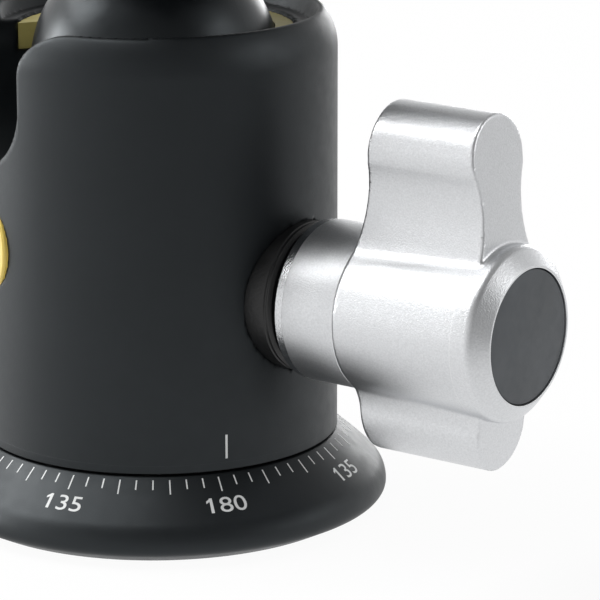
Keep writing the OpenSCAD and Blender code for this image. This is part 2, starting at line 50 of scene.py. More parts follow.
class Shader:
    """A Principled material, with helpers that add procedural nodes to it."""

    def __init__(self, name, **inputs):
        self.mat = bpy.data.materials.new(name)
        self.mat.use_nodes = True
        self.tree = self.mat.node_tree
        self.bsdf = self.tree.nodes["Principled BSDF"]
        self.coords = self.add("ShaderNodeTexCoord").outputs["Object"]
        for key, value in inputs.items():
            socket = self.bsdf.inputs[key.replace("_", " ")]
            socket.default_value = (*value, 1) if isinstance(value, tuple) else value

    def add(self, kind, **props):
        node = self.tree.nodes.new(kind)
        for key, value in props.items():
            setattr(node, key, value)
        return node

    def link(self, source, target):
        self.tree.links.new(source, target)

    def noise(self, scale, detail=3.0):
        """Noise with that many features to a metre."""
        node = self.add("ShaderNodeTexNoise")
        for key, value in (("Scale", scale), ("Detail", detail), ("Roughness", 0.55)):
            node.inputs[key].default_value = value
        self.link(self.coords, node.inputs["Vector"])
        return node.outputs["Fac"]

    def ramp(self, fac, stops):
        """Colour by a factor. Each stop is a position with a colour or a grey level."""
        node = self.add("ShaderNodeValToRGB")
        elements = node.color_ramp.elements
        while len(elements) < len(stops):
            elements.new(0.5)
        for element, (at, value) in zip(elements, stops):
            element.position = at
            element.color = (*value, 1) if isinstance(value, tuple) else (value, value, value, 1)
        self.link(fac, node.inputs["Fac"])
        return node.outputs["Color"]

    def mix(self, fac, a, b):
        """Blend of two colours, where each input is a value or another node's output."""
        node = self.add("ShaderNodeMix", data_type="RGBA")
        for socket, value in ((node.inputs[0], fac), (node.inputs[6], a), (node.inputs[7], b)):
            if isinstance(value, bpy.types.NodeSocket):
                self.link(value, socket)
            elif isinstance(value, tuple):
                socket.default_value = (*value, 1)
            else:
                socket.default_value = value
        return node.outputs[2]

    def colour(self, tone, darker, lighter, scale, detail=3.0):
        """Base colour that wanders between a tone times two factors."""
        low = tuple(darker * c for c in tone)
        high = tuple(min(1, lighter * c) for c in tone)
        out = self.ramp(self.noise(scale, detail), [(0.32, low), (0.68, high)])
        self.link(out, self.bsdf.inputs["Base Color"])

    def roughness(self, low, high, scale, detail=3.0):
        """Roughness that wanders between two levels."""
        out = self.ramp(self.noise(scale, detail), [(0.3, low), (0.7, high)])
        self.link(out, self.bsdf.inputs["Roughness"])

    def bump(self, height, strength, distance):
        """Adds a bump, with its distance in metres, on top of any bump there is."""
        node = self.add("ShaderNodeBump")
        node.inputs["Strength"].default_value = strength
        node.inputs["Distance"].default_value = distance
        self.link(height, node.inputs["Height"])
        before = self.bsdf.inputs["Normal"].links
        if before:
            self.link(before[0].from_socket, node.inputs["Normal"])
        self.link(node.outputs["Normal"], self.bsdf.inputs["Normal"])

    def wear(self, tone, radius, amount):
        """Rubbed edges and a painted edge highlight: the colour nears a lighter tone where the surface
        turns within a radius in metres.
        """
        # wear with a painted highlight: a lighter tone is blended in along the edges
        soft = self.add("ShaderNodeBevel", samples=6)
        soft.inputs["Radius"].default_value = radius
        true = self.add("ShaderNodeNewGeometry").outputs["Normal"]
        bend = self.add("ShaderNodeVectorMath", operation="DOT_PRODUCT")
        self.link(soft.outputs["Normal"], bend.inputs[0])
        self.link(true, bend.inputs[1])
        edge = self.add("ShaderNodeMapRange")
        for key, value in (("From Min", 0.995), ("From Max", 0.93), ("To Min", 0), ("To Max", amount)):
            edge.inputs[key].default_value = value
        self.link(bend.outputs["Value"], edge.inputs["Value"])
        patchy_edge_highlight = self.add("ShaderNodeMath", operation="MULTIPLY")
        self.link(edge.outputs["Result"], patchy_edge_highlight.inputs[0])
        self.link(self.ramp(self.noise(700, 4), [(0.35, 0.35), (0.6, 1.0)]), patchy_edge_highlight.inputs[1])
        colour = self.bsdf.inputs["Base Color"]
        self.link(self.mix(patchy_edge_highlight.outputs[0], colour.links[0].from_socket, tone), colour)

    def rings(self, axis, centre, scale):
        """Fine turned rings round an axis through a centre in metres."""
        move = self.add("ShaderNodeMapping")
        move.inputs["Location"].default_value = [-c for c in centre]
        self.link(self.coords, move.inputs["Vector"])
        node = self.add("ShaderNodeTexWave", wave_type="RINGS", rings_direction=axis)
        node.inputs["Scale"].default_value = scale
        self.link(move.outputs["Vector"], node.inputs["Vector"])
        return node.outputs["Fac"]


def anodised_black(name, tone, rough):
    """Satin black on bead-blasted metal."""
    s = Shader(name, Metallic=0.0, IOR=1.46, Specular_Tint=(0.86, 0.95, 1.0))
    s.colour(tone, 0.82, 1.18, 90)
    s.roughness(rough - 0.035, rough + 0.035, 420, 4)
    s.bump(s.noise(4600, 2), 0.30, 0.00004)
    s.bump(s.noise(1500, 3), 0.08, 0.00004)
    # lighter edges: wear and a painted edge highlight
    s.wear((0.03, 0.031, 0.032), 0.0003, 0.8)
    return s


def silver(name, tone=(0.66, 0.67, 0.685), rough=0.33):
    """Silver anodised metal with a fine blasted grain."""
    s = Shader(name, Metallic=1.0)
    s.colour(tone, 0.93, 1.07, 3600)
    s.roughness(rough - 0.04, rough + 0.05, 5200)
    s.bump(s.noise(4600, 2), 0.65, 0.00006)
    # lighter edges: wear and a painted edge highlight
    s.wear((0.86, 0.865, 0.87), 0.0003, 0.7)
    return s


def turned(name, tone, rough, axis="Z", centre=(0, 0, 0)):
    """Lathe-turned metal with fine rings."""
    s = Shader(name, Metallic=1.0)
    s.colour(tone, 0.9, 1.08, 300, 4)
    s.roughness(rough - 0.06, rough + 0.08, 900, 4)
    s.bump(s.rings(axis, centre, 2400), 0.12, 0.00002)
    s.bump(s.noise(5000, 3), 0.08, 0.00002)
    return s


def moulded(name, tone, rough, grain=3000, depth=0.00003, coat=0.0):
    """Moulded plastic with a fine texture."""
    s = Shader(name)
    s.bsdf.inputs["Coat Weight"].default_value = coat
    s.colour(tone, 0.88, 1.1, 160)
    s.roughness(rough - 0.05, rough + 0.05, 700)
    s.bump(s.noise(grain, 3), 0.3, depth)
    return s


def rubber(name, tone):
    """Dull rubber with a coarse grain."""
    s = Shader(name)
    s.colour(tone, 0.8, 1.25, 500, 5)
    s.roughness(0.72, 0.9, 900)
    s.bump(s.noise(4200, 4), 0.45, 0.00005)
    return s


KNOB_Z = 36.0
MATS = {
    "housing_black": anodised_black("housing_black", (0.0027, 0.0033, 0.0040), 0.45),
    "ball_dark": anodised_black("ball_dark", (0.0026, 0.0032, 0.004), 0.34),
    "silver_alloy": silver("silver_alloy"),
    "steel": turned("steel", (0.60, 0.61, 0.63), 0.26, "X", (0, 0, KNOB_Z * MM)),
    "zinc_alloy": turned("zinc_alloy", (0.47, 0.48, 0.50), 0.36),
    "black_screw": turned("black_screw", (0.05, 0.05, 0.055), 0.40),
    "brass": turned("brass", (0.72, 0.52, 0.26), 0.32),
    "yellow_ring": moulded("yellow_ring", (0.66, 0.49, 0.10), 0.34, coat=0.2),
    "badge_plate": turned("badge_plate", (0.72, 0.68, 0.55), 0.34),
    "black_plastic": moulded("black_plastic", (0.004, 0.0042, 0.0046), 0.40, 2600, 0.00015),
    "grey_cap": moulded("grey_cap", (0.050, 0.056, 0.063), 0.46, 5200, 0.00002),
    "pale_plastic": moulded("pale_plastic", (0.76, 0.75, 0.71), 0.40),
    "level_green": moulded("level_green", (0.42, 0.72, 0.09), 0.12, coat=1.0),
    "plate_black": anodised_black("plate_black", (0.0125, 0.0135, 0.015), 0.46),
    "pad_rubber": rubber("pad_rubber", (0.022, 0.022, 0.023)),
}
SLOT_OF = {part["node"]: part["material_slot"] for part in frame["record"]["subparts"]}


def paint(obj, shader):
    """Makes that shader's material an object's only one."""
    obj.data.materials.clear()
    obj.data.materials.append(shader.mat)


for node, obj in NODES.items():
    paint(obj, MATS[SLOT_OF[node]])
# the seal ring gets a darker copy of the ring's yellow: painted shade for the notch it sits in
paint(NODES["seal_ring"], moulded("seal_yellow_painted_shade", (0.44, 0.38, 0.12), 0.5))

# ---------------------------------------------------------------- mesh helpers


def make(name, verts, faces, body, slot, shader=None, smooth=True, replace=()):
    """A piece from points in millimetres, in place of the CAD nodes named in replace."""
    mesh = bpy.data.meshes.new(name)
    points = np.asarray(verts, float) * MM
    mesh.from_pydata(points.tolist(), [], [list(map(int, f)) for f in faces])
    mesh.validate()
    mesh.update()
    mesh.polygons.foreach_set("use_smooth", [smooth] * len(mesh.polygons))
    obj = bpy.data.objects.new(name, mesh)
    bpy.context.collection.objects.link(obj)
    obj.data.materials.append((shader or MATS[slot]).mat)
    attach(obj, body)
    if replace:
        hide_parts(*replace)


def bevel(obj, width):
    """Rounds a CAD node's sharp edges by a width in millimetres."""
    mod = obj.modifiers.new("edge", "BEVEL")
    mod.width = width * MM
    mod.segments = 3
    mod.limit_method = "ANGLE"
    mod.angle_limit = math.radians(32)
    mod.harden_normals = True
    mod.use_clamp_overlap = True


def rounded(profile, radii, steps=5):
    """Replaces corners of an outline by arcs. There is a radius for each point, and 0 keeps a corner."""
    out = []
    n = len(profile)
    for i, (p, r) in enumerate(zip(profile, radii)):
        p = np.array(p, float)
        if r <= 0:
            out.append(p)
            continue
        a, b = np.array(profile[i - 1], float) - p, np.array(profile[(i + 1) % n], float) - p
        la, lb = np.linalg.norm(a), np.linalg.norm(b)
        a, b = a / la, b / lb
        half = math.acos(np.clip(a @ b, -1, 1)) / 2
        cut = min(r / math.tan(half), 0.48 * la, 0.48 * lb)
        r = cut * math.tan(half)
        centre = p + (a + b) / np.linalg.norm(a + b) * (r / math.sin(half))
        start, end = p + a * cut - centre, p + b * cut - centre
        sweep = math.acos(np.clip(start @ end / (r * r), -1, 1))
        turn = 1 if start[0] * end[1] - start[1] * end[0] > 0 else -1
        for k in range(steps + 1):
            t = turn * sweep * k / steps
            c, s = math.cos(t), math.sin(t)
            out.append(centre + [c * start[0] - s * start[1], s * start[0] + c * start[1]])
    return out


def lathe(profile, count, closed=True):
    """Vertices and faces of a (radius, height) outline turned round Z, seen anticlockwise."""
    pr = np.array(profile, float)
    m = len(pr)
    t = np.arange(count) * TAU / count
    verts = np.stack([pr[:, None, 0] * np.cos(t), pr[:, None, 0] * np.sin(t),
                      np.repeat(pr[:, 1:2], count, 1)], -1).reshape(-1, 3)
    faces = []
    for i in range(m if closed else m - 1):
        j = (i + 1) % m
        if pr[i, 0] < 1e-9 and pr[j, 0] < 1e-9:
            continue
        for k in range(count):
            k2 = (k + 1) % count
            a, b, c, d = i * count + k, i * count + k2, j * count + k2, j * count + k
            if pr[i, 0] < 1e-9:
                faces.append((a, c, d))
            elif pr[j, 0] < 1e-9:
                faces.append((a, b, d))
            else:
                faces.append((a, b, c, d))
    return weld(verts, faces)


def weld(verts, faces):
    """Joins points that lie in the same place."""
    per_mm = 1e5
    key = np.round(np.asarray(verts) * per_mm).astype(np.int64)
    _, first, inverse = np.unique(key, axis=0, return_index=True, return_inverse=True)
    inverse = inverse.reshape(-1)
    out = []
    for face in faces:
        f = [int(inverse[v]) for v in face]
        f = [v for i, v in enumerate(f) if v != f[i - 1]]
        if len(set(f)) > 2:
            out.append(f)
    return np.asarray(verts)[first], out


def outward(verts, angle, z):
    """Turns points drawn along +Z to run outward at an angle, at a height."""
    v = np.asarray(verts, float)
    turned_x = np.stack([v[:, 2], v[:, 1], -v[:, 0]], -1)
    c, s = math.cos(math.radians(angle)), math.sin(math.radians(angle))
    x, y = turned_x[:, 0], turned_x[:, 1]
    return np.stack([c * x - s * y, s * x + c * y, turned_x[:, 2] + z], -1)


def surface_net(field, low, high, step):
    """Mesh of a signed distance's zero level from a grid, with its points pulled onto that level."""
    counts = np.ceil((np.array(high) - low) / step).astype(int) + 1
    axes = [low[i] + step * np.arange(counts[i]) for i in range(3)]
    grid = np.stack(np.meshgrid(*axes, indexing="ij"), -1)
    value = field(grid.reshape(-1, 3)).reshape(counts)
    inside = value < 0
    corner = np.zeros(tuple(counts - 1), int)
    for dx in (0, 1):
        for dy in (0, 1):
            for dz in (0, 1):
                corner += inside[dx:counts[0] - 1 + dx, dy:counts[1] - 1 + dy, dz:counts[2] - 1 + dz]
    cells = (corner > 0) & (corner < 8)
    index = -np.ones(cells.shape, int)
    index[cells] = np.arange(cells.sum())
    verts = np.argwhere(cells) * step + np.array(low) + step / 2
    faces = []
    for axis in range(3):
        u, v = (axis + 1) % 3, (axis + 2) % 3
        a = np.moveaxis(inside, axis, 0)
        cross = np.argwhere(np.moveaxis(a[:-1] != a[1:], 0, axis))
        at = np.array([c for c in cross if c[u] > 0 and c[v] > 0 and c[u] < cells.shape[u]
                       and c[v] < cells.shape[v]]) if len(cross) else cross
        du, dv = np.eye(3, dtype=int)[u], np.eye(3, dtype=int)[v]
        quad = np.stack([index[tuple((at - q).T)] for q in (du * 0, du, du + dv, dv)], 1)
        flip = ~inside[tuple(at.T)]
        quad[flip] = quad[flip][:, ::-1]
        faces.append(quad)
    probe, rounds, flattest, farthest = 0.02, 6, 0.25, 0.6 * step
    for _ in range(rounds):
        grad = np.stack([field(verts + probe * e) - field(verts - probe * e) for e in np.eye(3)], -1)
        grad = grad / (2 * probe)
        size = np.maximum((grad ** 2).sum(1), flattest)
        move = -(field(verts) / size)[:, None] * grad
        length = np.linalg.norm(move, axis=1, keepdims=True)
        verts = verts + move * np.minimum(1, farthest / np.maximum(length, 1e-9))
    return verts, np.concatenate(faces)


def meet(a, b, r):
    """Intersection of two distances with its edge rounded."""
    corner = np.hypot(np.maximum(a + r, 0), np.maximum(b + r, 0))
    return corner + np.minimum(np.maximum(a, b) + r, 0) - r


def fuse(a, b, r):
    """Union of two distances with a fillet between them."""
    return np.maximum(r, np.minimum(a, b)) - np.hypot(np.maximum(r - a, 0), np.maximum(r - b, 0))


# ---------------------------------------------------------------- wing knob

SEAM_X, KNOB_END, WING_BACK, WING_FRONT = 40.9, 66.3, 40.95, 62.3
HUB_BACK, HUB_FRONT, HUB_NOSE_X = 12.0, 12.7, 64.2
CAP_R, CAP_X = 9.7, 65.2
NOSE_RISE, NOSE_RUN = 2.1, 2.6
LONG_REACH, BACK_LEAN, FRONT_LEAN, LEAN_END = 31.1, 2.8, 2.4, 33.1
# what the leaning faces' distances are multiplied by, because they slope
BACK_SLOPE, FRONT_SLOPE = 0.99, 0.993
LONG_TIP, LONG_HOLLOW = 6.35, 14.2
SHORT_TIP, SHORT_TIP_AT, SHORT_HOLLOW = 6.0, 14.4, 6.6
WING_HUB = 11.6
SPINDLE_R, SPINDLE_END, SCREW_R, SCREW_END, SCREW_HEAD_R, SCREW_SEAT = 4.05, 57.1, 2.1, 62, 4.1, 61.9


def wing_field(v, w, tip, tip_y, hollow):
    """Distance to the outline of a wing along +w: a hub, hollow flanks and a round tip at tip_y."""
    v = np.abs(v)
    hy = (tip_y ** 2 + (WING_HUB + hollow) ** 2 - (tip + hollow) ** 2) / (2 * tip_y)
    hx = math.sqrt((WING_HUB + hollow) ** 2 - hy ** 2)
    to_tip = np.hypot(v, w - tip_y) - tip
    flank = hollow - np.hypot(v - hx, w - hy)
    past_waist = v * (hy - tip_y) < (w - tip_y) * hx
    before_waist = v * hy > w * hx
    out = np.where(past_waist, to_tip, flank)
    return np.where(before_waist, np.hypot(v, w) - WING_HUB, out)


def hub_radius(x):
    """The hub's radius, which grows a little from the seam to the nose."""
    return HUB_BACK + (HUB_FRONT - HUB_BACK) * (x - SEAM_X) / (HUB_NOSE_X - SEAM_X)


def knob_field(p):
    """Distance to the wing knob, with two wings, the hub, the cap's recess and the bore."""
    x, v, w = p[:, 0], p[:, 1], p[:, 2] - KNOB_Z
    r = np.hypot(v, w)
    t = np.clip((r - HUB_BACK) / (LEAN_END - HUB_BACK), 0, 1)
    back = (WING_BACK + BACK_LEAN * np.maximum(t, 1e-4) ** 0.8 - x) * BACK_SLOPE
    front = (x - (WING_FRONT - FRONT_LEAN * t)) * FRONT_SLOPE
    outline = np.minimum(wing_field(v, w, LONG_TIP, LONG_REACH - LONG_TIP, LONG_HOLLOW),
                         wing_field(v, -w, SHORT_TIP, SHORT_TIP_AT, SHORT_HOLLOW))
    slab = np.maximum(back, front)
    wings = meet(outline, slab, 0.26)
    hub = r - hub_radius(np.clip(x, SEAM_X, HUB_NOSE_X))
    cone = ((r - HUB_FRONT) * NOSE_RISE + (x - HUB_NOSE_X) * NOSE_RUN) / math.hypot(NOSE_RISE, NOSE_RUN)
    # the lathed nose covers the hub's front and recess, so those surfaces stay a little behind it
    hub = meet(meet(hub, cone + 0.2, 0.35), x - KNOB_END + 0.3, 0.2)
    solid = fuse(wings, hub, 0.4)
    solid = meet(solid, SEAM_X - x, 0.12)
    recess = np.maximum(r - CAP_R - 0.6, CAP_X - 0.5 - x)
    solid = np.maximum(solid, -recess)
    bore = np.minimum.reduce([np.maximum(r - SPINDLE_R, x - SPINDLE_END),
                              np.maximum(r - SCREW_R, x - SCREW_END),
                              np.maximum(r - SCREW_HEAD_R, SCREW_SEAT - x)])
    return np.maximum(solid, -bore)


verts, faces = surface_net(knob_field, (40.4, -14.2, 14.6), (66.8, 14.2, 67.8), 0.3)
make("wing_knob", verts, faces, "lock_knob", "silver_alloy", replace=("knob_body",))
NOSE_START, SKIN = 61.2, 0.004
nose_r = hub_radius(NOSE_START) + SKIN
nose = rounded(
    [(nose_r - 0.8, NOSE_START + 0.3), (nose_r, NOSE_START), (nose_r, NOSE_START + 0.02),
     (HUB_FRONT + SKIN, HUB_NOSE_X), (HUB_FRONT - NOSE_RUN, HUB_NOSE_X + NOSE_RISE),
     (CAP_R + 0.08, KNOB_END), (CAP_R + 0.08, CAP_X - 0.05), (SCREW_HEAD_R + 0.1, CAP_X - 0.05)],
    [0, 0, 0, 1.5, 0.15, 0.08, 0, 0], 8)
verts, faces = lathe(nose, 192)
make("knob_nose", outward(verts, 0, KNOB_Z), faces, "lock_knob", "silver_alloy")

# ---------------------------------------------------------------- collar, bushing and cap


def revolve_piece(name, profile, radii, angle, z, body, slot, node, shader=None, count=160):
    """A turned piece on an axis that runs outward at an angle and a height."""
    verts, faces = lathe(rounded(profile, radii), count)
    make(name, outward(verts, angle, z), faces, body, slot, shader, replace=(node,))


collar_shader = silver("collar_silver")
position = collar_shader.add("ShaderNodeSeparateXYZ")
collar_shader.link(collar_shader.coords, position.inputs[0])
polish = collar_shader.add("ShaderNodeMapRange")
# the collar is bright up to a small step and satin after it
STEP_X, BRIGHT_ROUGH, SATIN_ROUGH = 31.9, 0.17, 0.38
for key, number in (("From Min", (STEP_X - 0.05) * MM), ("From Max", (STEP_X + 0.05) * MM),
                    ("To Min", BRIGHT_ROUGH), ("To Max", SATIN_ROUGH)):
    polish.inputs[key].default_value = number
collar_shader.link(position.outputs["X"], polish.inputs["Value"])
collar_shader.link(polish.outputs["Result"], collar_shader.bsdf.inputs["Roughness"])
COLLAR_R, COLLAR_X, COLLAR_BORE = 11.85, 30.2, 5.05
revolve_piece(
    "collar", [(SPINDLE_R, COLLAR_X + 0.6), (COLLAR_BORE, COLLAR_X + 0.6), (COLLAR_BORE, COLLAR_X),
               (COLLAR_R - 0.65, COLLAR_X), (COLLAR_R - 0.11, COLLAR_X + 0.45),
               (COLLAR_R - 0.08, STEP_X), (COLLAR_R, STEP_X + 0.08), (COLLAR_R, SEAM_X - 0.05),
               (SPINDLE_R, SEAM_X - 0.05)],
    [0, 0, 0.1, 0.1, 0.15, 0.03, 0.03, 0.18, 0], 0, KNOB_Z, "lock_knob", "silver_alloy", "knob_collar",
    collar_shader)
revolve_piece(
    "bushing", [(5.03, 14.5), (8.5, 14.5), (8.5, 24.05), (11.0, 24.05), (11.0, 28.0), (10.82, 28.15),
                (10.82, 28.4), (11.0, 28.55), (11.0, 28.75), (10.5, 29.2), (5.03, 29.2)],
    [0, 0.3, 0, 0.1, 0.05, 0.05, 0.05, 0.05, 0.12, 0.15, 0.3], 0, KNOB_Z, "housing", "black_plastic",
    "knob_bushing")
revolve_piece(
    "cap", [(0, 65.2), (9.62, 65.2), (9.62, 66.12), (0, 66.2)], [0, 0, 0.18, 0], 0, KNOB_Z,
    "lock_knob", "grey_cap", "knob_cap")

# ---------------------------------------------------------------- housing

BODY_R, SHELL_Z, RIM_Z, SHOULDER_R, SHOULDER_Z = 27.0, 12.1, 75.7, 8.5, 70.0
FUNNEL_R, FUNNEL_RUN, FUNNEL_RISE, FUNNEL_Z = 24.3, 2.4, 4.4, 73.3
SEAL_R, SEAL_Z, GROOVE_R, GROOVE_Z, GROOVE_HALF = 19.9, 72.9, 20.6, 70.9, 2.0
CAVITY_R, FOOT_CAVITY_R, FOOT_CAVITY_Z = 19.2, 22.0, 27.0
NOTCH_ANGLE, NOTCH_W, NOTCH_Z, NOTCH_CORNER, NOTCH_START = -120, 9.5, 64.0, 7.0, 10
BADGE_Z, PAN_Z, PAN_ANGLE = 42.4, 18.6, 120
# angle, height, radius, inner end and edge rounding of each hole in the wall
BORES = ((0, KNOB_Z, 8.55, 10, 0.1), (0, KNOB_Z, 10.8, 24, 0.1), (NOTCH_ANGLE, BADGE_Z, 6.9, 24.6, 0.1),
         (PAN_ANGLE, PAN_Z, 4.55, 15, 0.2), (60, PAN_Z, 1.55, 15, 0.12))


def housing_field(p):
    """Distance to the housing, from its turned outline, the notch and the bores."""
    r = np.hypot(p[:, 0], p[:, 1])
    z = p[:, 2]
    arc_r = BODY_R - SHOULDER_R
    arc = np.hypot(r - arc_r, z - SHOULDER_Z) - SHOULDER_R
    shoulder = np.where((z > SHOULDER_Z) & (r > arc_r), arc, r - BODY_R)
    outer = meet(shoulder, z - RIM_Z, 0.3)
    outer = meet(outer, SHELL_Z - z, 0.2)
    slope = math.atan2(FUNNEL_RUN, FUNNEL_RISE)
    funnel = (r - FUNNEL_R) * math.cos(slope) - (z - RIM_Z) * math.sin(slope)
    hollow = np.minimum.reduce([
        np.maximum(r - SEAL_R, SEAL_Z - z), np.maximum(funnel, FUNNEL_Z - z),
        np.maximum(r - GROOVE_R, np.abs(z - GROOVE_Z) - GROOVE_HALF),
        r - CAVITY_R, np.maximum(r - FOOT_CAVITY_R, z - FOOT_CAVITY_Z)])
    solid = meet(outer, -hollow, 0.2)
    a = math.radians(NOTCH_ANGLE)
    along = p[:, 0] * math.cos(a) + p[:, 1] * math.sin(a)
    side = np.abs(-p[:, 0] * math.sin(a) + p[:, 1] * math.cos(a))
    notch = np.where(z < NOTCH_Z, np.hypot(side, z - NOTCH_Z) - NOTCH_W, side - NOTCH_W)
    corner_s, corner_z = NOTCH_W + NOTCH_CORNER, RIM_Z - NOTCH_CORNER
    flare = NOTCH_CORNER - np.hypot(np.maximum(corner_s - side, 0), z - corner_z)
    notch = np.where(z > corner_z, flare, notch)
    notch = np.maximum(notch, NOTCH_START - along)
    solid = meet(solid, -notch, 0.45)
    for angle, height, radius, start, edge in BORES:
        b = math.radians(angle)
        out = p[:, 0] * math.cos(b) + p[:, 1] * math.sin(b)
        off = np.hypot(-p[:, 0] * math.sin(b) + p[:, 1] * math.cos(b), z - height)
        solid = meet(solid, -np.maximum(off - radius, start - out), edge)
    return solid


verts, faces = surface_net(housing_field, (-27.6, -27.6, 11.2), (27.6, 27.6, 76.4), 0.45)
make("housing", verts, faces, "housing", "housing_black", replace=("housing_shell",))
foot = rounded([(24.5, 11.93), (BODY_R + SKIN, 11.93), (BODY_R + SKIN, 13.18), (BODY_R + SKIN, 13.2),
                (26.6, 13.4), (24.5, 13.4)], [0, 0.16, 0, 0, 0, 0])
verts, faces = lathe(foot, 288)
make("housing_foot", verts, faces, "housing", "housing_black")

# ---------------------------------------------------------------- base and its scale

FLARE_DEGREES = 41.3
FLARE = math.radians(FLARE_DEGREES)
FLARE_REF, BASE_TOP = 30.8, 11.6
LIP_Z, LIP_R, LIP_OVER, LIP_UNDER = 3.0, 34.49, 4.443, 1.6


def base_profile():
    """The base's outline from its bore out, up the flare and in over the top of its boss."""
    upper = [(LIP_R - LIP_OVER + LIP_OVER * math.cos(t), LIP_Z + LIP_OVER * math.sin(t))
             for t in np.linspace(0, math.radians(90 - FLARE_DEGREES), 14)]
    lower = [(LIP_R - LIP_UNDER + LIP_UNDER * math.cos(t), LIP_Z + LIP_UNDER * math.sin(t))
             for t in np.radians(np.linspace(-63, 0, 9))[:-1]]
    return [(7.05, 0), (30.45, 0), (30.6, 0.06)] + lower + upper + [
        (27.15, 11.47), (27.0, 11.56), (26.85, 11.6), (24.05, 11.6), (24.05, 11.1), (14.3, 11.1),
        (14.0, 11.6), (14.0, 21.5), (13.8, 21.7), (0, 21.7), (0, 9.05), (7.05, 9.05)]


verts, faces = lathe(base_profile(), 240)
make("base", verts, faces, "base", "housing_black", replace=("base_flange",))


def on_flare(theta, up, lift):
    """A point on the flare: theta in radians, up the slope from its reference circle, lifted off it."""
    r = FLARE_REF - up * math.cos(FLARE) + lift * math.sin(FLARE)
    z = BASE_TOP - math.tan(FLARE) * (FLARE_REF - BODY_R) + up * math.sin(FLARE) + lift * math.cos(FLARE)
    return (r * math.cos(theta), r * math.sin(theta), z)


ZERO_AT = -33.5
TICK_COUNT, TICK_STEP, TICKS_PER_LONG = 72, 5, 3
TICK_TOP, TICK_SHORT, TICK_LONG, TICK_W = 27.46, 28.67, 29.27, 0.2
LIFT, SINK = 0.02, -0.05


def strip(theta, r_in, r_out, width):
    """Thin inlaid bar on the flare, from one radius to another."""
    out = []
    up = [(FLARE_REF - r) / math.cos(FLARE) for r in (r_out, r_in)]
    for lift in (SINK, LIFT):
        for u in up:
            r = FLARE_REF - u * math.cos(FLARE)
            for side in (-1, 1):
                out.append(on_flare(theta + side * width / 2 / r, u, lift))
    return out


BOX = [(0, 2, 3, 1), (4, 5, 7, 6), (0, 1, 5, 4), (2, 6, 7, 3), (0, 4, 6, 2), (1, 3, 7, 5)]
verts, faces = [], []
for i in range(TICK_COUNT):
    low_end = TICK_SHORT if i % TICKS_PER_LONG else TICK_LONG
    start = len(verts)
    verts += strip(math.radians(ZERO_AT + TICK_STEP * i), TICK_TOP, low_end, TICK_W)
    faces += [[start + v for v in f] for f in BOX]
print_white = moulded("print_white", (0.66, 0.67, 0.67), 0.5, 6000, 0.00001)
make("scale_ticks", verts, faces, "base", "pale_plastic", print_white, smooth=False)

PRISM = [(3, 2, 1, 0), (4, 5, 6, 7), (0, 1, 5, 4), (1, 2, 6, 5), (2, 3, 7, 6), (3, 0, 4, 7)]
# the stroke that slants down to the left from the top of a 1
FLAG = ((0.1, 0), (-0.42, -0.5), (-0.42, -0.86), (0.1, -0.48))
NUMERAL_SIZE, NUMERAL_WIDEN, NUMERAL_BELOW, NUMERAL_SINK, NUMERAL_HALF = 3.6, 1.2, 0.4, 0.015, 0.035
verts, faces = [], []
for degrees in range(0, 360, 45):
    value = abs(180 - degrees)
    curve = bpy.data.curves.new("numeral", "FONT")
    curve.body = str(value)
    curve.size = NUMERAL_SIZE
    curve.align_x, curve.align_y = "CENTER", "CENTER"
    curve.resolution_u = 5
    curve.offset = 0.005
    curve.extrude = NUMERAL_HALF
    holder = bpy.data.objects.new("numeral", curve)
    bpy.context.collection.objects.link(holder)
    mesh = bpy.data.meshes.new_from_object(holder.evaluated_get(bpy.context.evaluated_depsgraph_get()))
    points = [tuple(vert.co) for vert in mesh.vertices]
    glyphs = [tuple(poly.vertices) for poly in mesh.polygons]
    if value >= 100:
        left = min(x for x, y, z in points)
        top = max(y for x, y, z in points if x < left + 0.3)
        first = len(points)
        points += [(left + x, top + y, z) for z in (-NUMERAL_HALF, NUMERAL_HALF) for x, y in FLAG]
        glyphs += [tuple(first + v for v in f) for f in PRISM]
    start = len(verts)
    for x, y, z in points:
        theta = math.radians(ZERO_AT + degrees) + NUMERAL_WIDEN * x / FLARE_REF
        verts.append(on_flare(theta, y - NUMERAL_BELOW, z - NUMERAL_SINK))
    faces += [[start + v for v in f] for f in glyphs]
    bpy.data.objects.remove(holder)
    bpy.data.curves.remove(curve)
    bpy.data.meshes.remove(mesh)
make("scale_numerals", verts, faces, "base", "pale_plastic", print_white, smooth=False)

INDEX_AT, INDEX_LOW, INDEX_HIGH, INDEX_W = math.radians(-30.35), 13.7, 17.3, 0.34
verts = []
for r in (BODY_R + SINK, BODY_R + LIFT):
    for z in (INDEX_LOW, INDEX_HIGH):
        for side in (-1, 1):
            t = INDEX_AT + side * INDEX_W / 2 / BODY_R
            verts.append((r * math.cos(t), r * math.sin(t), z))
make("index_line", verts, BOX, "housing", "pale_plastic", print_white, smooth=False)

# ---------------------------------------------------------------- badge

badge_shader = silver("badge_satin", (0.72, 0.67, 0.52), 0.34)
revolve_piece(
    "badge_ring", [(5.45, 24.7), (7.0, 24.7), (7.0, 26.55), (6.75, 26.85), (5.6, 26.85), (5.45, 26.7)],
    [0, 0, 0.15, 0.1, 0.06, 0.05], NOTCH_ANGLE, BADGE_Z, "housing", "yellow_ring", "badge_rim")
revolve_piece(
    "badge_disc", [(0, 24.7), (5.42, 24.7), (5.42, 26.3), (5.2, 26.45), (0, 26.55)],
    [0, 0, 0.05, 0.1, 0], NOTCH_ANGLE, BADGE_Z, "housing", "badge_plate", "badge_face", badge_shader)

# ---------------------------------------------------------------- fluted knobs

GRIP_R, GRIP_HOLE, GRIP_CHAMFER, GRIP_CAP_R, GRIP_CAP_DEEP = 8.0, 2.55, 0.8, 5.5, 1.2
FLUTES, FLUTE_POINTS, FLUTE_R, FLUTE_FADE, FLUTE_BLEND = 14, 18, 1.5, 0.6, 6
CLAMP_Z, CLAMP_GRIP_END, PAN_GRIP_END = 103.0, 43.0, 42.0


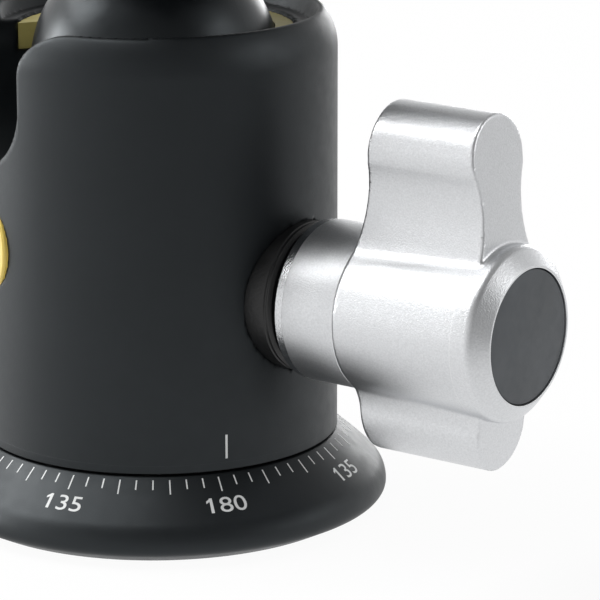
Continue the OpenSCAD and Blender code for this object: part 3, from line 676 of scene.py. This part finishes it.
def fluted(name, low, high, angle, z, body, node, neck=None):
    """Knob whose rim has flutes that run out into its ends. A neck is a radius and where it starts."""
    count = FLUTES * FLUTE_POINTS
    t = np.arange(count) * TAU / count
    phase = np.abs(((t * FLUTES / TAU + 0.5) % 1) - 0.5) * TAU / FLUTES
    centre = GRIP_R + FLUTE_R * 0.55
    reach = np.clip(FLUTE_R ** 2 - (centre * np.sin(phase)) ** 2, 0, None)
    wall = np.where(reach > 0, centre * np.cos(phase) - np.sqrt(reach), 99).clip(0, GRIP_R + 1)
    full = -np.log(np.exp(-FLUTE_BLEND * wall) + math.exp(-FLUTE_BLEND * GRIP_R)) / FLUTE_BLEND
    # radius, height and whether the flutes cut that ring
    rows = [(GRIP_HOLE, low, 0)]
    if neck:
        neck_r, start = neck
        rows = [(GRIP_HOLE, start, 0), (neck_r - 0.15, start, 0), (neck_r, start + 0.15, 0),
                (neck_r, low - 0.12, 0), (neck_r + 0.12, low, 0)]
    inner, middle = GRIP_R - 2 * GRIP_CHAMFER, GRIP_R - GRIP_CHAMFER
    edge = rounded([(inner, low), (middle, low), (GRIP_R, low + GRIP_CHAMFER),
                    (GRIP_R, high - GRIP_CHAMFER), (middle, high), (inner, high)],
                   [0, 0.9, 0.9, 0.9, 0.9, 0], 4)
    rows += [(r, h, 1) for r, h in edge[1:-1]]
    rows += [(GRIP_CAP_R + 0.12, high, 0), (GRIP_CAP_R + 0.03, high - 0.09, 0),
             (GRIP_CAP_R + 0.03, high - GRIP_CAP_DEEP, 0), (GRIP_HOLE, high - GRIP_CAP_DEEP, 0)]
    verts = []
    for r, h, cut in rows:
        ring = np.minimum(r, full - (GRIP_R - r) * FLUTE_FADE) if cut else np.full(count, r)
        verts.append(np.stack([ring * np.cos(t), ring * np.sin(t), np.full(count, h)], -1))
    verts = np.concatenate(verts)
    faces = []
    n = len(rows)
    for i in range(n):
        j = (i + 1) % n
        for k in range(count):
            k2 = (k + 1) % count
            faces.append((i * count + k, i * count + k2, j * count + k2, j * count + k))
    make(name, outward(verts, angle, z), faces, body, "silver_alloy", replace=(node,))


fluted("clamp_grip", 28.9, CLAMP_GRIP_END, 0, CLAMP_Z, "clamp_handle", "clamp_knob")
fluted("pan_grip", 30.5, PAN_GRIP_END, PAN_ANGLE, PAN_Z, "pan_handle", "pan_knob", neck=(5.0, 28.6))
for name, node, end, angle, z, body in (
        ("clamp_grip_cap", "clamp_cap", CLAMP_GRIP_END, 0, CLAMP_Z, "clamp_handle"),
        ("pan_grip_cap", "pan_cap", PAN_GRIP_END, PAN_ANGLE, PAN_Z, "pan_handle")):
    revolve_piece(name, [(0, end - 1.15), (5.45, end - 1.15), (5.45, end - 0.25), (0, end - 0.12)],
                  [0, 0, 0.15, 0], angle, z, body, "grey_cap", node, count=96)

# ---------------------------------------------------------------- clamp, plate and screws

for node, width in (("clamp_body", 0.35), ("moving_jaw", 0.35), ("release_plate", 0.3), ("seal_ring", 0.12),
                    ("pan_bushing", 0.12), ("stem", 0.2), ("level_cup", 0.1), ("clamp_washer", 0.1),
                    ("knob_washer", 0.1)):
    bevel(NODES[node], width)


def ribbed_pad():
    """Rubber pad with ribs across it and a slot for the screw."""
    half_x, half_y, corner, low, high = 17.0, 25.0, 1.2, 116.21, 117.2
    slot_r, slot_reach = 5.2, 7.5
    pitch, depth, side_margin, slot_margin = 2.0, 0.45, 1.5, 1.0

    def field(p):
        qx, qy = np.abs(p[:, 0]) - half_x + corner, np.abs(p[:, 1]) - half_y + corner
        edge = np.hypot(np.maximum(qx, 0), np.maximum(qy, 0)) + np.minimum(np.maximum(qx, qy), 0) - corner
        slot = np.hypot(p[:, 0], np.maximum(np.abs(p[:, 1]) - slot_reach, 0)) - slot_r
        wave = (p[:, 1] / pitch + 0.5) % 1 - 0.5
        groove = np.hypot(wave * pitch, p[:, 2] - high) - depth
        groove = np.maximum(groove, np.abs(p[:, 0]) - half_x + side_margin)
        groove = np.maximum(groove, -(slot - slot_margin))
        body = meet(edge, np.maximum(p[:, 2] - high, low - p[:, 2]), 0.12)
        return meet(meet(body, -slot, 0.1), -groove, 0.08)

    return surface_net(field, (-17.5, -25.5, 115.8), (17.5, 25.5, 117.6), 0.28)


verts, faces = ribbed_pad()
make("ribbed_pad", verts, faces, "plate_body", "pad_rubber", replace=("plate_pad",))


def tooth_depth(heights, t, pitch, flat):
    """A thread over heights and angles: 0 at its largest radius and 1 at its smallest."""
    phase = np.abs(((heights[:, None] / pitch - t[None] / TAU) % 1 - 0.5) * 2)
    return np.clip((phase - flat) / (1 - 2 * flat), 0, 1)


def rings_mesh(t, heights, radius):
    """A tube through rings of points, with a radius for each height and angle."""
    m, n = radius.shape
    verts = np.stack([radius * np.cos(t), radius * np.sin(t), np.repeat(heights[:, None], n, 1)], -1)
    faces = [(i * n + k, i * n + (k + 1) % n, (i + 1) * n + (k + 1) % n, (i + 1) * n + k)
             for i in range(m - 1) for k in range(n)]
    return verts.reshape(-1, 3).tolist(), faces


def add_turned(verts, faces, profile, count):
    """Adds a turned open outline to points and faces, facing the other way."""
    start = len(verts)
    more, quads = lathe(profile, count, closed=False)
    verts += more.tolist()
    faces += [[start + v for v in reversed(f)] for f in quads]


def tapped_insert():
    """Steel insert whose bore carries the tripod screw's thread."""
    major, depth, pitch, low, high, count = 4.76, 0.62, 1.5875, 0.3, 9.0, 72
    heights = np.linspace(low, high, 90)
    t = np.arange(count) * TAU / count
    ends = np.minimum(1, np.minimum(heights - low, high - heights) / 0.7)[:, None]
    verts, faces = rings_mesh(t, heights, major - depth * tooth_depth(heights, t, pitch, 0.1) * ends)
    faces = [f[::-1] for f in faces]
    outline = [(major, high), (7.0, high), (7.0, 0.15), (6.85, 0), (5.05, 0), (major, low)]
    add_turned(verts, faces, outline, count)
    return weld(verts, faces)


def camera_screw():
    """Camera screw with its thread, plain shank and flat head."""
    major, pitch, low, high, lead, count = 3.175, 1.27, 117.2, 122.7, 0.7, 48
    shank_r, head_r, head_top, head_bottom = 2.6, 7.0, 109.35, 106.95
    heights = np.linspace(low, high, int((high - low) / pitch * 10))
    t = np.arange(count) * TAU / count
    end = np.clip((high - heights) / lead, 0, 1)[:, None]
    crest = major - 0.6 * pitch * tooth_depth(heights, t, pitch, 0.12)
    verts, faces = rings_mesh(t, heights, np.minimum(crest, major - lead * (1 - end)))
    top = (len(heights) - 1) * count
    faces.append(tuple(top + k for k in range(count)))
    profile = rounded([(shank_r, low), (shank_r, head_top), (head_r, head_top), (head_r, head_bottom),
                       (0, head_bottom)], [0, 0.2, 0.25, 0.25, 0])
    add_turned(verts, faces, profile, count)
    inner = len(verts)
    verts += [(shank_r * math.cos(a), shank_r * math.sin(a), low) for a in t]
    faces += [(inner + k, inner + (k + 1) % count, (k + 1) % count, k) for k in range(count)]
    return weld(verts, faces)


verts, faces = tapped_insert()
make("tapped_insert", verts, faces, "base", "steel", replace=("thread_insert",))
verts, faces = camera_screw()
make("quarter_inch_screw", verts, faces, "camera_fastener", "steel", replace=("camera_screw",))

# ---------------------------------------------------------------- spirit level

VIAL_PLACE, BUBBLE_PLACE = (-25.2, 0, 0), (-24.9, 0.25, 0)
BUBBLE_R, BUBBLE_Z, BUBBLE_HALF = 1.15, 111.66, 0.14
verts, faces = lathe(rounded([(0, 108.6), (3.55, 108.6), (3.55, 111.3), (0, 111.68)], [0, 0, 0.3, 0]), 72)
make("vial", verts + VIAL_PLACE, faces, "head", "level_green", replace=("level_vial",))
clear = moulded("bubble", (0.72, 0.88, 0.42), 0.08, coat=1.0)
verts, faces = lathe([(BUBBLE_R * math.cos(a), BUBBLE_Z + BUBBLE_HALF * math.sin(a))
                      for a in np.linspace(-math.pi / 2, math.pi / 2, 9)], 40)
make("vial_bubble", verts + BUBBLE_PLACE, faces, "head", "level_green", clear)
verts, faces = lathe([(1.65, 111.58), (1.8, 111.58), (1.8, 111.66), (1.65, 111.68)], 48)
make("vial_circle", verts + VIAL_PLACE, faces, "head", "black_plastic")

# ---------------------------------------------------------------- stage

CENTRE = (0.01, 0, 0.045)
SHADED_SIDE = (0.966, -0.259)
FLOOR_Z = -0.00005
FLOOR_HALF = 6


def area(name, direction, distance, size, power):
    """Soft white lamp that shines on the object's middle from a direction."""
    light = bpy.data.lights.new(name, "AREA")
    light.shape = "RECTANGLE"
    light.size, light.size_y = size
    light.energy = power
    obj = bpy.data.objects.new(name, light)
    bpy.context.collection.objects.link(obj)
    d = Vector(direction).normalized()
    obj.location = Vector(CENTRE) + d * distance
    obj.rotation_mode = "QUATERNION"
    obj.rotation_quaternion = d.to_track_quat("Z", "Y")
    obj.visible_camera = False


area("key", (-0.69, -0.22, 0.68), 0.7, (0.52, 0.28), 3.3)
area("left", (-0.92, -0.37, 0.06), 0.7, (0.28, 0.4), 4.2)
area("top_left", (-0.177, -0.253, 0.951), 0.6, (0.22, 0.22), 0.8)
area("right_back", (0.9, 0.38, 0.4), 0.85, (0.4, 0.5), 1.3)
area("rim", (-0.3, 0.95, 0.08), 0.8, (0.3, 0.2), 1.2)


class Stage:
    """Node tree of the floor or the world."""

    def __init__(self, tree):
        self.tree = tree
        tree.nodes.clear()

    def add(self, kind, values=(), **props):
        """Node whose inputs are numbers, colours or other nodes' outputs."""
        node = self.tree.nodes.new(kind)
        for key, value in props.items():
            setattr(node, key, value)
        for i, value in enumerate(values):
            if isinstance(value, bpy.types.NodeSocket):
                self.tree.links.new(value, node.inputs[i])
            elif value is not None:
                node.inputs[i].default_value = value
        return node

    def shade(self, place, low, high):
        """White that turns grey towards the studio's shaded side."""
        node = self.add("ShaderNodeVectorMath", (place, (*SHADED_SIDE, 0)), operation="DOT_PRODUCT")
        return self.ramp(node.outputs["Value"], low, high, [(0.0, 1.0), (1.0, 0.38)])

    def ramp(self, value, low, high, stops):
        """Grey level by a value between two ends, from stops of a position and a level."""
        spread = self.add("ShaderNodeMapRange", (value, low, high, 0, 1))
        node = self.add("ShaderNodeValToRGB", (spread.outputs["Result"],))
        elements = node.color_ramp.elements
        while len(elements) < len(stops):
            elements.new(0.5)
        for element, (at, level) in zip(elements, stops):
            element.position, element.color = at, (level, level, level, 1)
        return node.outputs["Color"]

    def seen(self, level):
        """That level for camera, glossy and transmission rays, and 0 for the rest."""
        path = self.add("ShaderNodeLightPath").outputs
        total = path["Is Camera Ray"]
        for ray in ("Is Glossy Ray", "Is Transmission Ray"):
            node = self.add("ShaderNodeMath", (total, path[ray]), operation="ADD", use_clamp=True)
            total = node.outputs[0]
        return self.add("ShaderNodeMath", (total, level), operation="MULTIPLY").outputs[0]


white = bpy.data.materials.new("floor")
white.use_nodes = True
ground = Stage(white.node_tree)
paper = ground.add("ShaderNodeBsdfDiffuse", ((0.8, 0.8, 0.8, 1),))
where = ground.add("ShaderNodeTexCoord").outputs["Object"]
# the floor's glow is white near the object and turns grey farther out towards the shaded side: painted
# shade on the floor
glow = ground.add("ShaderNodeEmission", (ground.shade(where, 0.06, 0.4), 1))
both = ground.add("ShaderNodeMixShader", (ground.seen(0.95), paper.outputs[0], glow.outputs[0]))
ground.add("ShaderNodeOutputMaterial", (both.outputs[0],))
mesh = bpy.data.meshes.new("floor")
corners = [(x * FLOOR_HALF, y * FLOOR_HALF, FLOOR_Z) for x, y in ((-1, -1), (1, -1), (1, 1), (-1, 1))]
mesh.from_pydata(corners, [], [(0, 1, 2, 3)])
floor = bpy.data.objects.new("floor", mesh)
floor.data.materials.append(white)
bpy.context.collection.objects.link(floor)

world = bpy.data.worlds.new("studio")
bpy.context.scene.world = world
world.use_nodes = True
sky = Stage(world.node_tree)
way = sky.add("ShaderNodeTexCoord").outputs["Generated"]
height = sky.add("ShaderNodeSeparateXYZ", (way,)).outputs["Z"]
ceiling = sky.ramp(height, 0, 1, [(0.25, 1.0), (0.7, 0.35)])
walls = sky.shade(way, 0.2, 0.9)
level = sky.add("ShaderNodeMix", (1, None, None, None, None, None, walls, ceiling),
                data_type="RGBA", blend_type="MULTIPLY")
backdrop = sky.add("ShaderNodeBackground", (level.outputs[2], 1))
room = sky.add("ShaderNodeBackground", ((0.55, 0.55, 0.55, 1), 1))
both = sky.add("ShaderNodeMixShader", (sky.seen(1), room.outputs[0], backdrop.outputs[0]))
sky.add("ShaderNodeOutputWorld", (both.outputs[0],))
bpy.context.scene.view_settings.view_transform = "Standard"

# ---------------------------------------------------------------- camera

EYE = Vector((0.3192, -0.3978, 0.1676))
HEADING, PITCH, ROLL = (math.radians(a) for a in (126.343, 15.021, -0.052))
SENSOR_MM, FOCAL_PIXELS, PIXELS_ACROSS = 36, 3496.9, 600
look = Vector((math.cos(PITCH) * math.cos(HEADING), math.cos(PITCH) * math.sin(HEADING), -math.sin(PITCH)))
sideways = Vector((math.sin(HEADING), -math.cos(HEADING), 0))
upright = sideways.cross(look)
right = math.cos(ROLL) * sideways + math.sin(ROLL) * upright
up = math.cos(ROLL) * upright - math.sin(ROLL) * sideways
camera = bpy.data.objects.new("camera", bpy.data.cameras.new("camera"))
bpy.context.collection.objects.link(camera)
camera.matrix_world = Matrix((
    (right.x, up.x, -look.x, EYE.x), (right.y, up.y, -look.y, EYE.y), (right.z, up.z, -look.z, EYE.z),
    (0, 0, 0, 1)))
camera.data.sensor_fit = "HORIZONTAL"
camera.data.sensor_width = SENSOR_MM
camera.data.lens = SENSOR_MM * FOCAL_PIXELS / PIXELS_ACROSS
camera.data.clip_start, camera.data.clip_end = 0.01, 30
bpy.context.scene.camera = camera

bpy.context.view_layer.update()
